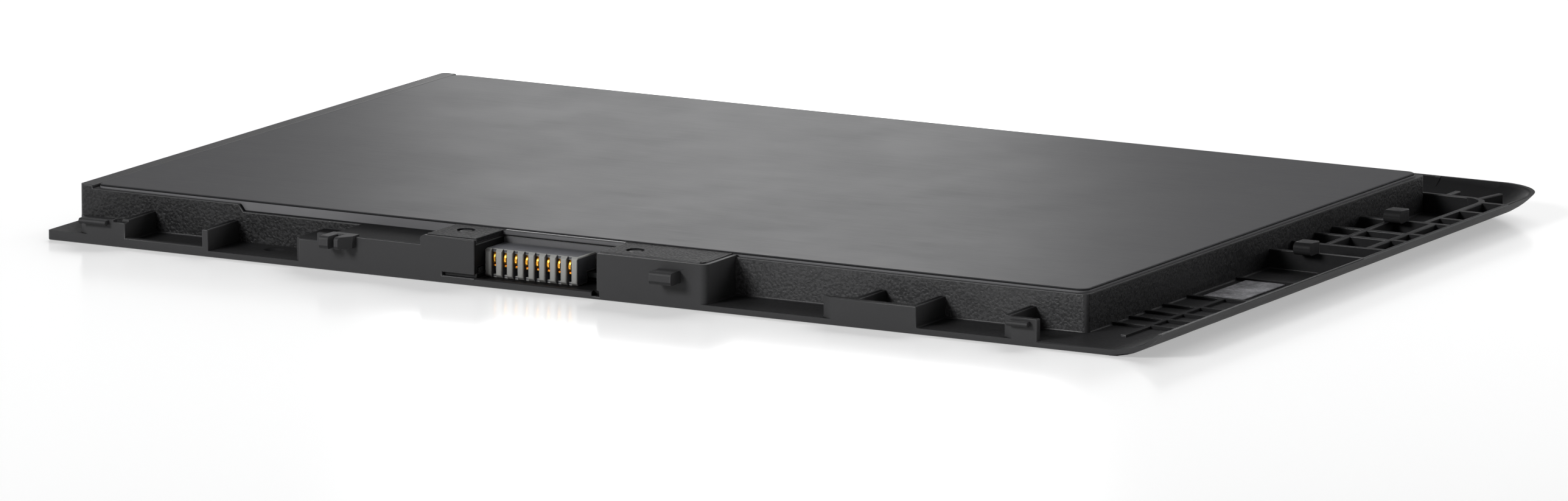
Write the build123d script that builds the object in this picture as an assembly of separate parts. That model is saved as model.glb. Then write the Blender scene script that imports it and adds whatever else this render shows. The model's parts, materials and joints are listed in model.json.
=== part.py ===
from build123d import *
import math
import os

# A slim battery pack for a notebook computer, in millimetres.
# X runs along the edge with the connector, Y from that edge to the back and Z up.
# Everything is drawn about the middle of the cell box and moved to its place at the end.

# Cell box
box_length = 187.2
box_depth = 117.0
pack_height = 7.8
floor_t = 1.0
wall_t = 1.4
left_wall_t = 3.3
rim_t = 0.7
left_rim_t = 2.6
rim_drop = 0.6
left_rim_drop = 0.1
box_corner_r = 1.0

# Lid of folded sheet
lid_t = 0.4
lid_fold = 1.8
lid_corner_r = 2.0
lid_bend_r = 0.35
lid_clearance = 0.1

# Outer edge that turns up like a hull on the right and at the back
hull_reach_front = 18.4
hull_reach_side = 16.4
hull_reach_back = 15.2
hull_height = 4.2
hull_radius = 12.7
hull_lip_t = 0.7
hull_corner_r = 10.0

# Front flange with its latch tabs and gussets
front_flange = 9.6
tab_height = 4.5
tab_t = 1.2
tab_chamfer = 2.0
gusset_t = 1.2
tab_1_from_left = 5.6
tab_1_width = 9.1
tab_1_dip_width = 2.2
tab_1_dip = 0.4
lone_gusset_from_left = 29.3
tab_2_from_right = 43.1
tab_2_width = 17.5
tab_2_rib_offset = 5.6
tab_3_from_right = 10.4
tab_3_width = 6.5
platform_height = 1.65
front_lip_t = 1.0
dimple_from_left = 39.0
dimple_from_wall = 3.0
dimple_d = 3.6
dimple_floor_d = 1.8
dimple_depth = 0.6

# Latch bars on two of the tabs
bar_height = 0.9
bar_reach = 1.2
bar_1_inset = 0.95
bar_1_length = 5.05
bar_1_z = 3.95
bar_3_inset = 1.6
bar_3_length = 3.7
bar_3_z = 3.65

# Locating pegs
peg_width = 4.0
peg_height = 2.1
peg_z = 4.1
peg_reach = 3.2
peg_nose_r = 0.6
twin_peg_x = -37.7
twin_peg_width = 5.0
twin_peg_slot = 1.15
twin_slot_from_left = 1.65
twin_flank_width = 1.5
twin_flank_reach = 2.3
single_peg_x = 23.1
side_peg_from_wall = 7.15
side_peg_width = 3.0
side_peg_reach = 2.6
side_peg_nose_r = 1.0

# Electronics block, with places from the middle of the cell box
block_left = -46.9
block_shoulder = -42.5
block_step = -23.2
block_right = 29.8
shoulder_height = 4.7
ledge_height = 6.0
ledge_roof_t = 0.8
ledge_from_shoulder = 2.4
ledge_fin_t = 0.9
block_wall_t = 1.2
block_rim_height = 7.5
block_chamfer = 1.0
block_corner_r = 1.2
step_corner_r = 0.9
notch_from_left = 30.5
notch_slope = 0.9

# Cap over the electronics block
cap_t = 0.9
cap_drop = 0.15
cap_inset = 0.8
cap_clearance = 0.12
cap_strip = 0.1
stake_1_x = -18.3
stake_1_from_wall = 3.2
stake_2_x = 14.0
stake_2_from_wall = 4.7
stake_d = 1.8
stake_head_d = 2.75
stake_head_t = 0.45
stake_dish_d = 1.9
stake_dish = 0.22
stake_clearance = 0.15

# Connector bay and blade connector
bay_left = -13.05
bay_right = 9.6
bay_wall_t = 0.9
connector_setback = 3.2
connector_clearance = 0.1
contact_count = 8
contact_pitch = 2.0
blade_t = 1.15
blade_depth = 3.5
blade_height = 4.7
blade_nose = 0.7
blade_nose_chamfer = 0.5
slot_roof_t = 0.6
slot_floor_t = 0.5
rear_body_depth = 2.7
contact_t = 0.45
contact_sheet = 0.3
contact_height = 2.2
contact_bow = 0.5
contact_setback = 0.3
lip_bar_height = 1.25
lip_bar_r = 0.45
lip_groove = 0.5
lip_groove_overrun = 6.0
lip_groove_depth = 0.8
lip_notch = 0.9

# Right flange: low ribs in front, tall ribs behind
low_rib_t = 0.9
low_rib_height = 1.45
low_ribs_from_front = (8.3, 13.9, 19.3, 25.2, 33.5, 50.4)
low_spine_from_wall = 6.4
low_spine_rib_count = 5
tall_rib_t = 1.0
long_ribs_from_back = (54.7, 46.9, 38.8, 32.8, 23.0)
short_ribs_from_back = (18.1, 11.0, 2.7)
inner_spine_from_wall = 6.0
outer_spine_from_wall = 13.4
curved_rib_from_wall = 11.7
curved_rib_r = 4.0
corner_rib_from_curve = 2.0
back_gusset_pitch = 24.0
back_gusset_foot = 5.0
back_gusset_first = 4.9
stub_from_wall = 3.8
stub_length = 4.1
corner_rib_lean = 1.2
corner_rib_length = 5.5

# Pad on the floor of the right flange
pad_from_wall = 2.0
pad_width = 7.2
pad_t = 0.35
pad_end_gap = 0.6

# Pouch cells and what holds them
cell_count = 4
cell_gap = 0.8
cell_tape_t = 0.15
cell_tape_width = 12.0
cell_tape_inset = 4.0
foam_t = 0.35
foam_inset = 8.0
wiring_channel = 13.0
pouch_edge = 1.2
pouch_bevel = 0.6
terrace_depth = 3.5
terrace_t = 0.5

# Strips between the cells and the board
tab_width = 4.0
tab_length = 5.0
tab_spacing = 20.0
strip_t = 0.15
link_width = 3.5
link_setback = 0.5
lead_width = 3.0
lead_from_wall = 0.8
sense_width = 1.5
strip_clearance = 0.15
negative_slot_x = -37.3
sense_slots_x = (-33.5, 12.2, 20.25)
positive_slot_x = 25.0
landing_depth = 3.2
insulator_t = 0.2
insulator_inset = 0.6
insulator_gap = 0.3

# Circuit board
board_t = 0.8
board_ledge = 1.0
board_ledge_height = 1.0
board_clearance = 0.2
gauge_chip_size = (5.0, 4.4, 1.0)
protector_chip_size = (3.0, 3.0, 0.9)
transistor_size = (3.2, 3.2, 0.9)
transistor_pitch = 3.7
transistor_count = 2
resistor_size = (5.0, 2.5, 0.6)
fuse_size = (4.0, 2.8, 1.1)
capacitor_size = (1.6, 0.8, 0.8)
capacitor_pitch = 2.5
capacitor_count = 4
component_edge = 0.08

# Planes that follow from those sizes
wall_left = -box_length / 2
wall_right = box_length / 2
wall_front = -box_depth / 2
wall_back = box_depth / 2
face_front = wall_front - front_flange
lip_right = wall_right + hull_reach_side
lip_back = wall_back + hull_reach_back
lip_front_corner = wall_right + hull_reach_front
hull_lean = hull_reach_front - hull_reach_side
corner_x = lip_right - hull_corner_r
corner_y = lip_back - hull_corner_r
seat_z = pack_height - lid_fold
rim_z = pack_height - rim_drop
left_rim_z = pack_height - left_rim_drop
cap_top = pack_height - cap_drop
cap_under = cap_top - cap_t
lid_left = wall_left + left_rim_t + lid_clearance
lid_right = wall_right - rim_t - lid_clearance
lid_front = wall_front + rim_t + lid_clearance
lid_back = wall_back - rim_t - lid_clearance
inner_left = wall_left + left_wall_t
inner_right = wall_right - wall_t
inner_front = wall_front + wall_t
inner_back = wall_back - wall_t
board_z = floor_t + board_ledge_height
strip_z = board_z + board_t
ledge_left = block_shoulder + ledge_from_shoulder
board_left = ledge_left + ledge_roof_t + board_clearance
board_right = block_right - block_wall_t - board_clearance
board_front = face_front + block_wall_t + board_clearance
board_back = wall_front - board_clearance
stake_places = (
    (stake_1_x, wall_front - stake_1_from_wall),
    (stake_2_x, wall_front - stake_2_from_wall),
)
connector_front = face_front + connector_setback
blades_back = connector_front + blade_depth
connector_left = bay_left + connector_clearance
connector_right = connector_left + contact_count * contact_pitch + blade_t
hull_span = math.sqrt(hull_radius**2 - (hull_radius - hull_height) ** 2)
cut = 1.0


def plan(x0, x1, y0, y1):
    """A rectangle in plan between two corners."""
    return Pos((x0 + x1) / 2, (y0 + y1) / 2) * Rectangle(x1 - x0, y1 - y0)


def round_plan(x0, x1, y0, y1, radius):
    """A rectangle in plan with rounded corners."""
    return Pos((x0 + x1) / 2, (y0 + y1) / 2) * RectangleRounded(x1 - x0, y1 - y0, radius)


def stand(sketch, z0, z1):
    """A plan shape stood up between two heights."""
    return Pos(0, 0, z0) * extrude(sketch, z1 - z0)


def outline(*points):
    """A closed straight-sided face through the points."""
    return make_face(Polyline(*points, close=True))


def from_front(face, y0, y1):
    """A front view, drawn in x and z, carried from y0 back to y1."""
    return extrude(Plane((0, y1, 0), x_dir=(1, 0, 0), z_dir=(0, -1, 0)) * face, y1 - y0)


def from_side(face, x0, x1):
    """A side view, drawn in y and z, carried from x0 to x1."""
    return extrude(Plane((x0, 0, 0), x_dir=(0, 1, 0), z_dir=(1, 0, 0)) * face, x1 - x0)


def round_corner(face, x, z, radius):
    """The face with its corner at a given place rounded."""
    corner = face.vertices().sort_by_distance((x, z, 0))[0]
    return fillet(corner, radius)


def hull_arc(foot_z, reach):
    """A curve that leaves the level at the hull's foot and climbs to the lip at a given reach."""
    foot = hull_corner_r - hull_span
    return TangentArc((foot, foot_z), (reach, hull_height), tangent=(1, 0))


def along_hull(profile):
    """A section carried up the right edge, which leans a little, round the corner and along the back."""
    right = Plane((corner_x, corner_y, 0), x_dir=(1, 0, 0), z_dir=(0, -1, 0)) * profile
    back = Plane((corner_x, corner_y, 0), x_dir=(0, 1, 0), z_dir=(1, 0, 0)) * profile
    turn = revolve(right, Axis((corner_x, corner_y, 0), (0, 0, 1)), 90)
    run = Vector(hull_lean, face_front - corner_y, 0)
    side = extrude(right, run.length, dir=run)
    return side + turn + extrude(back, wall_left - corner_x)


def floor_plan():
    """The level part of the underside."""
    return outline(
        (wall_left, face_front),
        (corner_x + hull_lean, face_front),
        (corner_x, corner_y),
        (wall_left, corner_y),
    )


def hull_shell():
    """The turned-up outer edge, one wall thick."""
    outer = hull_arc(0, hull_corner_r)
    inner = hull_arc(floor_t, hull_corner_r - hull_lip_t)
    sides = [outer, inner, Line((0, 0), outer @ 0), Line(outer @ 1, inner @ 1)]
    return along_hull(make_face(sides + [Polyline(inner @ 0, (0, floor_t), (0, 0))]))


def envelope():
    """All the room inside the outer surface up to the lip, which trims the ribs."""
    outer = hull_arc(0, hull_corner_r)
    sides = [outer, Line((0, 0), outer @ 0), Polyline(outer @ 1, (0, hull_height), (0, 0))]
    return stand(floor_plan(), 0, hull_height) + along_hull(make_face(sides))


def cell_box():
    """The walls round the cells, with a seat for the lid's fold and a thin rim outside it."""
    outside = round_plan(wall_left, wall_right, wall_front, wall_back, box_corner_r)
    inside = plan(inner_left, inner_right, inner_front, inner_back)
    lid_room = round_plan(
        lid_left - lid_clearance,
        lid_right + lid_clearance,
        lid_front - lid_clearance,
        lid_back + lid_clearance,
        lid_corner_r,
    )
    rim = outside - lid_room
    left_rim = rim & plan(wall_left, wall_left + left_rim_t, wall_front, wall_back)
    walls = stand(outside - inside, 0, seat_z) + stand(rim, seat_z, rim_z)
    walls = walls + stand(left_rim, rim_z, left_rim_z)
    notch_start = wall_left + notch_from_left
    cap_end = block_right - cap_inset
    notch = outline(
        (notch_start, pack_height),
        (notch_start, rim_z),
        (notch_start + notch_slope, seat_z),
        (block_step + cap_inset, seat_z),
        (block_step + cap_inset, cap_under),
        (cap_end, cap_under),
        (cap_end, pack_height),
    )
    return walls - from_front(notch, wall_front - cut, wall_front + rim_t + lid_clearance)


def latch_bar(x0, x1, z):
    """A rounded bar across the front of a tab."""
    section = SlotOverall(bar_reach * 2, bar_height)
    return from_side(Pos(face_front, z) * section, x0, x1)


def tab(x0, x1, gussets):
    """A wall at the front of the flange, chamfered at its left end and tied to the box by gussets."""
    wall = outline(
        (x0, face_front + tab_t),
        (x0 + tab_chamfer, face_front),
        (x1, face_front),
        (x1, face_front + tab_t),
    )
    ribs = [plan(x, x + gusset_t, face_front + tab_t, wall_front + wall_t / 2) for x in gussets]
    return stand(Sketch() + [wall] + ribs, 0, tab_height)


def front_latches():
    """The three latch tabs, their bars, the lone gusset and the raised left end of the flange."""
    tab_1 = wall_left + tab_1_from_left
    tab_1_end = tab_1 + tab_1_width
    tab_2 = wall_right - tab_2_from_right
    tab_2_end = tab_2 + tab_2_width
    tab_3 = wall_right - tab_3_from_right
    gusset = wall_left + lone_gusset_from_left
    dip = plan(tab_1_end - tab_1_dip_width, tab_1_end + cut, face_front - cut, face_front + tab_t)
    dip_z = tab_height - tab_1_dip
    root = wall_front + wall_t / 2
    lone = plan(gusset, gusset + gusset_t, face_front, root)
    left_end = plan(wall_left, tab_1 + tab_chamfer, face_front, root)
    pieces = [
        tab(tab_1, tab_1_end, [tab_1_end - gusset_t]) - stand(dip, dip_z, tab_height + cut),
        tab(tab_2, tab_2_end, [tab_2 + tab_2_rib_offset, tab_2_end - gusset_t]),
        tab(tab_3, tab_3 + tab_3_width, [tab_3]),
        latch_bar(tab_1 + bar_1_inset, tab_1 + bar_1_inset + bar_1_length, bar_1_z),
        latch_bar(tab_3 + bar_3_inset, tab_3 + bar_3_inset + bar_3_length, bar_3_z),
        stand(lone, 0, tab_height),
        stand(left_end, 0, platform_height),
        stand(plan(tab_1, gusset, face_front, face_front + front_lip_t), 0, platform_height),
    ]
    return pieces


def peg(x, y, width, reach, nose_r):
    """A locating peg that stands forward from y, with a rounded nose."""
    section = plan(y - reach, y, peg_z, peg_z + peg_height)
    nose = section.vertices().group_by(Axis.X)[0]
    return from_side(fillet(nose, nose_r), x - width / 2, x + width / 2)


def front_pegs():
    """The slotted peg, with a slanting right flank, and the plain peg on the block's face."""
    root = block_wall_t
    tip = face_front - peg_reach
    left = twin_peg_x - twin_peg_width / 2
    right = twin_peg_x + twin_peg_width / 2
    slot_left = left + twin_slot_from_left
    slot = plan(slot_left, slot_left + twin_peg_slot, tip - cut, face_front)
    flank = outline((right, tip), (right, tip + twin_flank_reach), (right - twin_flank_width, tip))
    twin = peg(twin_peg_x, face_front + root, twin_peg_width, peg_reach + root, peg_nose_r)
    twin = twin - stand(Sketch() + [slot, flank], 0, pack_height)
    single = peg(single_peg_x, face_front + root, peg_width, peg_reach + root, peg_nose_r)
    return [twin, single]


def side_pegs():
    """The two lugs with full round noses on the first and last long ribs of the right flange."""
    x = wall_right + side_peg_from_wall
    reach = side_peg_reach + tall_rib_t
    backs = [wall_back - long_ribs_from_back[i] + tall_rib_t / 2 for i in (0, -1)]
    return [peg(x, y, side_peg_width, reach, side_peg_nose_r) for y in backs]


def block_body():
    """The electronics block, with a fin at its left end: its front view crossed with its plan."""
    view = outline(
        (block_left, 0),
        (block_left, shoulder_height),
        (block_shoulder, shoulder_height),
        (block_shoulder, ledge_height),
        (block_step, ledge_height),
        (block_step, block_rim_height),
        (block_right, block_rim_height),
        (block_right, 0),
    )
    view = round_corner(view, block_step, block_rim_height, step_corner_r)
    back = wall_front + rim_t
    footprint = outline(
        (block_left, back),
        (block_left, face_front + block_chamfer),
        (block_left + block_chamfer, face_front),
        (block_right, face_front),
        (block_right, back),
    )
    footprint = round_corner(footprint, block_right, face_front, block_corner_r)
    body = from_front(view, face_front, back) & stand(footprint, 0, pack_height)
    behind_fin = plan(block_left, ledge_left, face_front + ledge_fin_t, wall_front)
    return body - stand(behind_fin, shoulder_height, pack_height)


def cap_plan(gap):
    """The cap in plan: a plate with a notch for the connector bay, kept a gap from what it fits in."""
    left = block_step + cap_inset + gap
    right = block_right - cap_inset - gap
    front = face_front + cap_inset + gap
    plate = plan(left, right, front, lid_front - gap)
    corner = plate.vertices().sort_by_distance((right, front, 0))[0]
    plate = fillet(corner, block_corner_r - cap_inset / 2)
    return plate - plan(bay_left - gap, bay_right + gap, front - cut, wall_front - cap_strip)


def board_plan(gap):
    """The board in plan, notched where the connector drops through it, grown by a gap."""
    whole = plan(board_left - gap, board_right + gap, board_front - gap, board_back + gap)
    return whole - plan(bay_left + gap, bay_right - gap, board_front - cut, blades_back - gap)


def block_cavities():
    """What is taken out of the block: rooms for the board, the cap's seat and the connector bay."""
    ledge = board_ledge
    front = face_front + block_wall_t
    left = board_left - board_clearance
    right = board_right + board_clearance
    rooms = []
    for x0, x1 in ((left, bay_left - bay_wall_t), (bay_right + bay_wall_t, right)):
        rooms.append(stand(plan(x0, x1, front, wall_front), board_z, ledge_height - ledge_roof_t))
        rooms.append(stand(plan(x0, x1, front + ledge, wall_front - ledge), floor_t, board_z + cut))
    open_left = block_step + block_wall_t + cap_inset
    under_cap = [
        plan(open_left, bay_left - bay_wall_t, front, wall_front),
        plan(bay_right + bay_wall_t, right, front, wall_front),
    ]
    rooms.append(stand(Sketch() + under_cap, board_z, pack_height))
    rooms.append(stand(cap_plan(0), cap_under, pack_height))
    open_front = face_front - cut
    rooms.append(stand(plan(bay_left, bay_right, open_front, wall_front - ledge), floor_t, pack_height))
    rooms.append(stand(plan(bay_left, bay_right, open_front, wall_front), board_z, pack_height))
    groove_back = face_front + lip_groove_depth
    groove = plan(bay_left - lip_groove_overrun, bay_left + cut, open_front, groove_back)
    rooms.append(stand(groove, lip_bar_height, lip_bar_height + lip_groove))
    notch = plan(bay_right - lip_notch, bay_right + lip_notch / 2, open_front, front)
    rooms.append(stand(notch, floor_t / 2, floor_t + lip_notch / 2))
    rooms.append(stand(board_plan(board_clearance / 2), board_z, strip_z + board_clearance / 2))
    return rooms


def lip_bar():
    """The rounded bar along the bottom of the connector bay."""
    section = plan(face_front, face_front + block_wall_t, 0, lip_bar_height)
    top = section.vertices().group_by(Axis.Y)[-1]
    return from_side(fillet(top, lip_bar_r), bay_left - cut, bay_right - lip_notch)


def strip_slots():
    """Slots in the front wall of the box that let the strips through to the board."""
    slots = []
    for x, width in strip_crossings():
        half = width / 2 + strip_clearance
        hole = plan(x - half, x + half, wall_front - cut, inner_front + cut)
        slots.append(stand(hole, strip_z - strip_clearance, strip_z + strip_t + strip_clearance))
    return slots


def strip_crossings():
    """Where each strip crosses the front wall, with its width."""
    ends = [(negative_slot_x, lead_width), (positive_slot_x, lead_width)]
    return ends + [(x, sense_width) for x in sense_slots_x]


def stake(x, y):
    """A post of the tray with its head melted down over the cap, hollow in the middle."""
    head_z = cap_top - stake_head_t - stake_clearance
    crown_z = head_z + stake_head_t
    section = outline(
        (0, 0),
        (stake_d / 2, 0),
        (stake_d / 2, head_z),
        (stake_head_d / 2, head_z),
        (stake_head_d / 2, crown_z - stake_dish),
        (stake_dish_d / 2, crown_z),
        (0, crown_z - stake_dish),
    )
    turned = revolve(Plane.XZ * section, Axis.Z)
    return Pos(x, y, 0) * turned


def low_lattice():
    """Low ribs in the front part of the right flange."""
    far = lip_front_corner
    lines = [wall_front + y for y in low_ribs_from_front]
    ribs = [plan(wall_right - wall_t / 2, far, y, y + low_rib_t) for y in lines]
    spine_x = wall_right + low_spine_from_wall
    spine_end = lines[low_spine_rib_count - 1] + low_rib_t
    spine = plan(spine_x - low_rib_t / 2, spine_x + low_rib_t / 2, wall_front, spine_end)
    return stand(Sketch() + ribs + [spine], 0, low_rib_height)


def tall_lattice():
    """Tall ribs in the back part of the right flange, with two spines and a curved rib at the corner."""
    half = tall_rib_t / 2
    long_lines = [wall_back - y for y in long_ribs_from_back]
    far = lip_front_corner
    ribs = [plan(wall_right - wall_t / 2, far, y - half, y + half) for y in long_lines]
    for reach in (inner_spine_from_wall, outer_spine_from_wall):
        x = wall_right + reach
        ribs.append(plan(x - half, x + half, long_lines[1], long_lines[-1]))
    curve_x = wall_right + curved_rib_from_wall
    curve_y = wall_back + half
    for y in (wall_back - s for s in short_ribs_from_back):
        ribs.append(plan(curve_x, far, y - half, y + half))
    route = FilletPolyline(
        (curve_x, long_lines[-1]),
        (curve_x, curve_y),
        (wall_right - wall_t, curve_y),
        radius=curved_rib_r,
    )
    ribs.append(trace(route, tall_rib_t))
    bend_x = curve_x - corner_rib_from_curve
    corner_line = Line((bend_x, curve_y - half), (bend_x + corner_rib_lean, curve_y + corner_rib_length))
    ribs.append(trace(corner_line, tall_rib_t))
    stub_x = wall_right + stub_from_wall
    ribs.append(plan(stub_x - half, stub_x + half, curve_y, curve_y + stub_length))
    return stand(Sketch() + ribs, 0, hull_height)


def back_gussets():
    """Three-cornered gussets that stiffen the lip along the back."""
    section = outline(
        (lip_back - back_gusset_foot, 0),
        (lip_back, 0),
        (lip_back, hull_height),
        (lip_back - floor_t, hull_height),
        (lip_back - back_gusset_foot, floor_t),
    )
    run = wall_right - back_gusset_first - (wall_left + back_gusset_first)
    count = max(2, round(run / back_gusset_pitch) + 1)
    step = run / (count - 1)
    starts = [wall_left + back_gusset_first + i * step for i in range(count)]
    return [from_side(section, x - tall_rib_t / 2, x + tall_rib_t / 2) for x in starts]


def base_tray():
    """The whole moulding."""
    floor = stand(floor_plan(), 0, floor_t)
    lattice = (Part() + [low_lattice(), tall_lattice()] + back_gussets()) & envelope()
    tray = floor + hull_shell() + cell_box() + block_body() + lattice
    tray = tray + front_latches()
    tray = tray - block_cavities()
    stakes = [stake(x, y) for x, y in stake_places]
    tray = tray + front_pegs() + side_pegs() + stakes + [lip_bar()]
    dimple_y = wall_front - dimple_from_wall
    dimple = Pos(wall_left + dimple_from_left, dimple_y, floor_t - dimple_depth / 2)
    return tray - strip_slots() - dimple * Cone(dimple_floor_d / 2, dimple_d / 2, dimple_depth)


def cover_plate():
    """The lid: sheet folded down along its four edges."""
    outside = round_plan(lid_left, lid_right, lid_front, lid_back, lid_corner_r - lid_clearance)
    lump = stand(outside, seat_z, pack_height)
    lump = fillet(lump.faces().sort_by(Axis.Z)[-1].edges(), lid_bend_r)
    inside = plan(lid_left + lid_t, lid_right - lid_t, lid_front + lid_t, lid_back - lid_t)
    return lump - stand(chamfer(inside.vertices(), lid_corner_r - lid_t), seat_z, pack_height - lid_t)


def bay_cover():
    """The cap over the electronics block, with counterbored holes for the stakes."""
    cap = stand(cap_plan(cap_clearance), cap_under, cap_top)
    for x, y in stake_places:
        seat_depth = stake_head_t + stake_clearance
        bore = CounterBoreHole(
            (stake_d / 2 + stake_clearance), (stake_head_d / 2 + stake_clearance), seat_depth, depth=cap_t
        )
        cap -= Pos(x, y, cap_top) * bore
    return cap


def connector_slots():
    """The left side of each slot between two blades."""
    return [connector_left + blade_t + i * contact_pitch for i in range(contact_count)]


def contact_section():
    """A spring contact from the side: a bowed strip with a tail that runs back over the board."""
    top = floor_t + blade_height - slot_roof_t
    low = top - contact_height
    front = connector_front + contact_setback + contact_bow
    middle = (low + top) / 2
    bow = ThreePointArc((front, low), (front - contact_bow, middle), (front, top))
    rear = front + contact_sheet
    back = ThreePointArc((rear, top), (rear - contact_bow, middle), (rear, low))
    return make_face([bow, Line(bow @ 1, back @ 0), back, Line(back @ 1, bow @ 0)])


def contact_tail():
    """The flat tail of a contact, seen from the side, between the slot and the back of the housing."""
    front = connector_front + contact_setback + contact_bow / 2
    return plan(front, blades_back + rear_body_depth, strip_z, strip_z + contact_sheet)


def connector_contacts():
    """One contact in each slot."""
    margin = (contact_pitch - blade_t - contact_t) / 2
    contacts = []
    for x in connector_slots():
        strip = from_side(contact_section() + contact_tail(), x + margin, x + margin + contact_t)
        contacts.append(strip)
    return contacts


def connector_housing():
    """Blades whose noses stand free like the teeth of a comb, on a rear body that stands on the board."""
    blades_top = floor_t + blade_height
    comb = plan(connector_left, connector_right, connector_front, blades_back)
    blades = stand(comb, floor_t, blades_top)
    front_edges = blades.faces().sort_by(Axis.Y)[0].edges().filter_by(Axis.X)
    blades = chamfer(front_edges, blade_nose_chamfer)
    for x in connector_slots():
        slot_right = x + contact_pitch - blade_t
        opening = plan(x, slot_right, connector_front - cut, blades_back)
        between = plan(x, slot_right, connector_front - cut, connector_front + blade_nose)
        blades -= stand(opening, floor_t + slot_floor_t, blades_top - slot_roof_t)
        blades -= stand(between, 0, pack_height)
    rear = blades_back + rear_body_depth
    body = stand(plan(connector_left, connector_right, blades_back, rear), strip_z, blades_top)
    return blades + body - connector_contacts()


def cell_width():
    """The width that each cell has in the row."""
    return (inner_right - inner_left - (cell_count + 1) * cell_gap) / cell_count


def cell_centres():
    """The middle of each cell along X."""
    first = inner_left + cell_gap + cell_width() / 2
    return [first + i * (cell_width() + cell_gap) for i in range(cell_count)]


cell_front = inner_front + wiring_channel
cell_back = inner_back - cell_gap
cell_z = floor_t + cell_tape_t
cell_top = pack_height - lid_t - foam_t
terrace_front = cell_front - terrace_depth
tab_front = terrace_front - tab_length
link_front = terrace_front - link_setback - link_width
lead_front = inner_front + lead_from_wall


def pouch_cell(x):
    """A sealed pouch: a body with soft edges and a thin sealed terrace that the tabs leave."""
    half = cell_width() / 2
    outside = chamfer(plan(x - half, x + half, cell_front, cell_back).vertices(), pouch_edge)
    body = stand(outside, cell_z, cell_top)
    rims = body.faces().sort_by(Axis.Z)
    body = chamfer(rims[0].edges() + rims[-1].edges(), pouch_bevel)
    middle = strip_z - strip_t / 2
    seal = plan(x - half + pouch_edge, x + half - pouch_edge, terrace_front, cell_front + pouch_edge)
    return body + stand(seal, middle - terrace_t / 2, middle + terrace_t / 2)


def tab_strip(x):
    """One tab of a cell."""
    strip = plan(x - tab_width / 2, x + tab_width / 2, tab_front, terrace_front)
    return stand(strip, strip_z - strip_t, strip_z)


def series_links():
    """Strips that join each cell's right tab to the next cell's left tab."""
    links = []
    centres = cell_centres()
    for left, right in zip(centres, centres[1:]):
        x0 = left + tab_spacing / 2 - tab_width / 2
        x1 = right - tab_spacing / 2 + tab_width / 2
        links.append(stand(plan(x0, x1, link_front, link_front + link_width), strip_z, strip_z + strip_t))
    return links


def end_lead(tab_x, slot_x):
    """A strip from an end tab along the wiring channel and through the wall to the board."""
    side = 1 if slot_x > tab_x else -1
    outer = tab_x - side * tab_width / 2
    inner = slot_x + side * lead_width / 2
    land = board_back - landing_depth
    drop = plan(tab_x - tab_width / 2, tab_x + tab_width / 2, lead_front, link_front + link_width)
    run = plan(min(outer, inner), max(outer, inner), lead_front, lead_front + lead_width)
    landing = plan(slot_x - lead_width / 2, slot_x + lead_width / 2, land, lead_front + lead_width)
    return stand(drop + run + landing, strip_z, strip_z + strip_t)


def sense_leads():
    """Thin strips from the links to the board."""
    leads = []
    centres = cell_centres()
    land = board_back - landing_depth / 2
    for i, x in enumerate(sense_slots_x):
        low = centres[i] + tab_spacing / 2 - tab_width / 2
        high = centres[i + 1] - tab_spacing / 2 + tab_width / 2
        foot = min(max(x, low + sense_width / 2), high - sense_width / 2)
        ahead = plan(x - sense_width / 2, x + sense_width / 2, land, link_front)
        if foot != x:
            back = link_front + sense_width
            ahead = plan(x - sense_width / 2, x + sense_width / 2, land, back)
            ahead = ahead + plan(min(x, high), max(x, low), link_front, back)
        leads.append(stand(ahead, strip_z, strip_z + strip_t))
    return leads


def circuit_board():
    """The board, with clearance holes for the two stakes."""
    board = board_plan(0)
    for x, y in stake_places:
        board -= Pos(x, y) * Circle(stake_d / 2 + stake_clearance)
    return stand(board, board_z, strip_z)


def on_board(x, y, size):
    """A component that stands on the board."""
    length, width, height = size
    lump = stand(Pos(x, y) * Rectangle(length, width), strip_z, strip_z + height)
    return chamfer(lump.faces().sort_by(Axis.Z)[-1].edges(), component_edge)


def cell_pads(inset, width, z0, z1):
    """Two strips lengthwise on each cell, at an inset from its sides."""
    strips = []
    for x in cell_centres():
        for side in (-1, 1):
            middle = x + side * (cell_width() / 2 - inset - width / 2)
            strip = plan(middle - width / 2, middle + width / 2, cell_front + inset, cell_back - inset)
            strips.append(stand(strip, z0, z1))
    return strips


def side_pad():
    """The pad between the last two low ribs of the right flange, cut to the hull's curve."""
    y0 = wall_front + low_ribs_from_front[-2] + low_rib_t + pad_end_gap
    y1 = wall_front + low_ribs_from_front[-1] - pad_end_gap
    x0 = wall_right + pad_from_wall
    return stand(plan(x0, x0 + pad_width, y0, y1), floor_t, floor_t + pad_t) - hull_shell()


def place(pieces):
    """The pieces moved so that the origin is under the middle of the whole pack."""
    low_y = min(face_front - peg_reach, face_front - bar_reach)
    high_x = max(lip_right, lip_front_corner)
    shift = Pos(-(wall_left + high_x) / 2, -(low_y + lip_back) / 2, 0)
    if isinstance(pieces, list):
        return Compound(children=[shift * p.solid() for p in pieces])
    return shift * pieces


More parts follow.
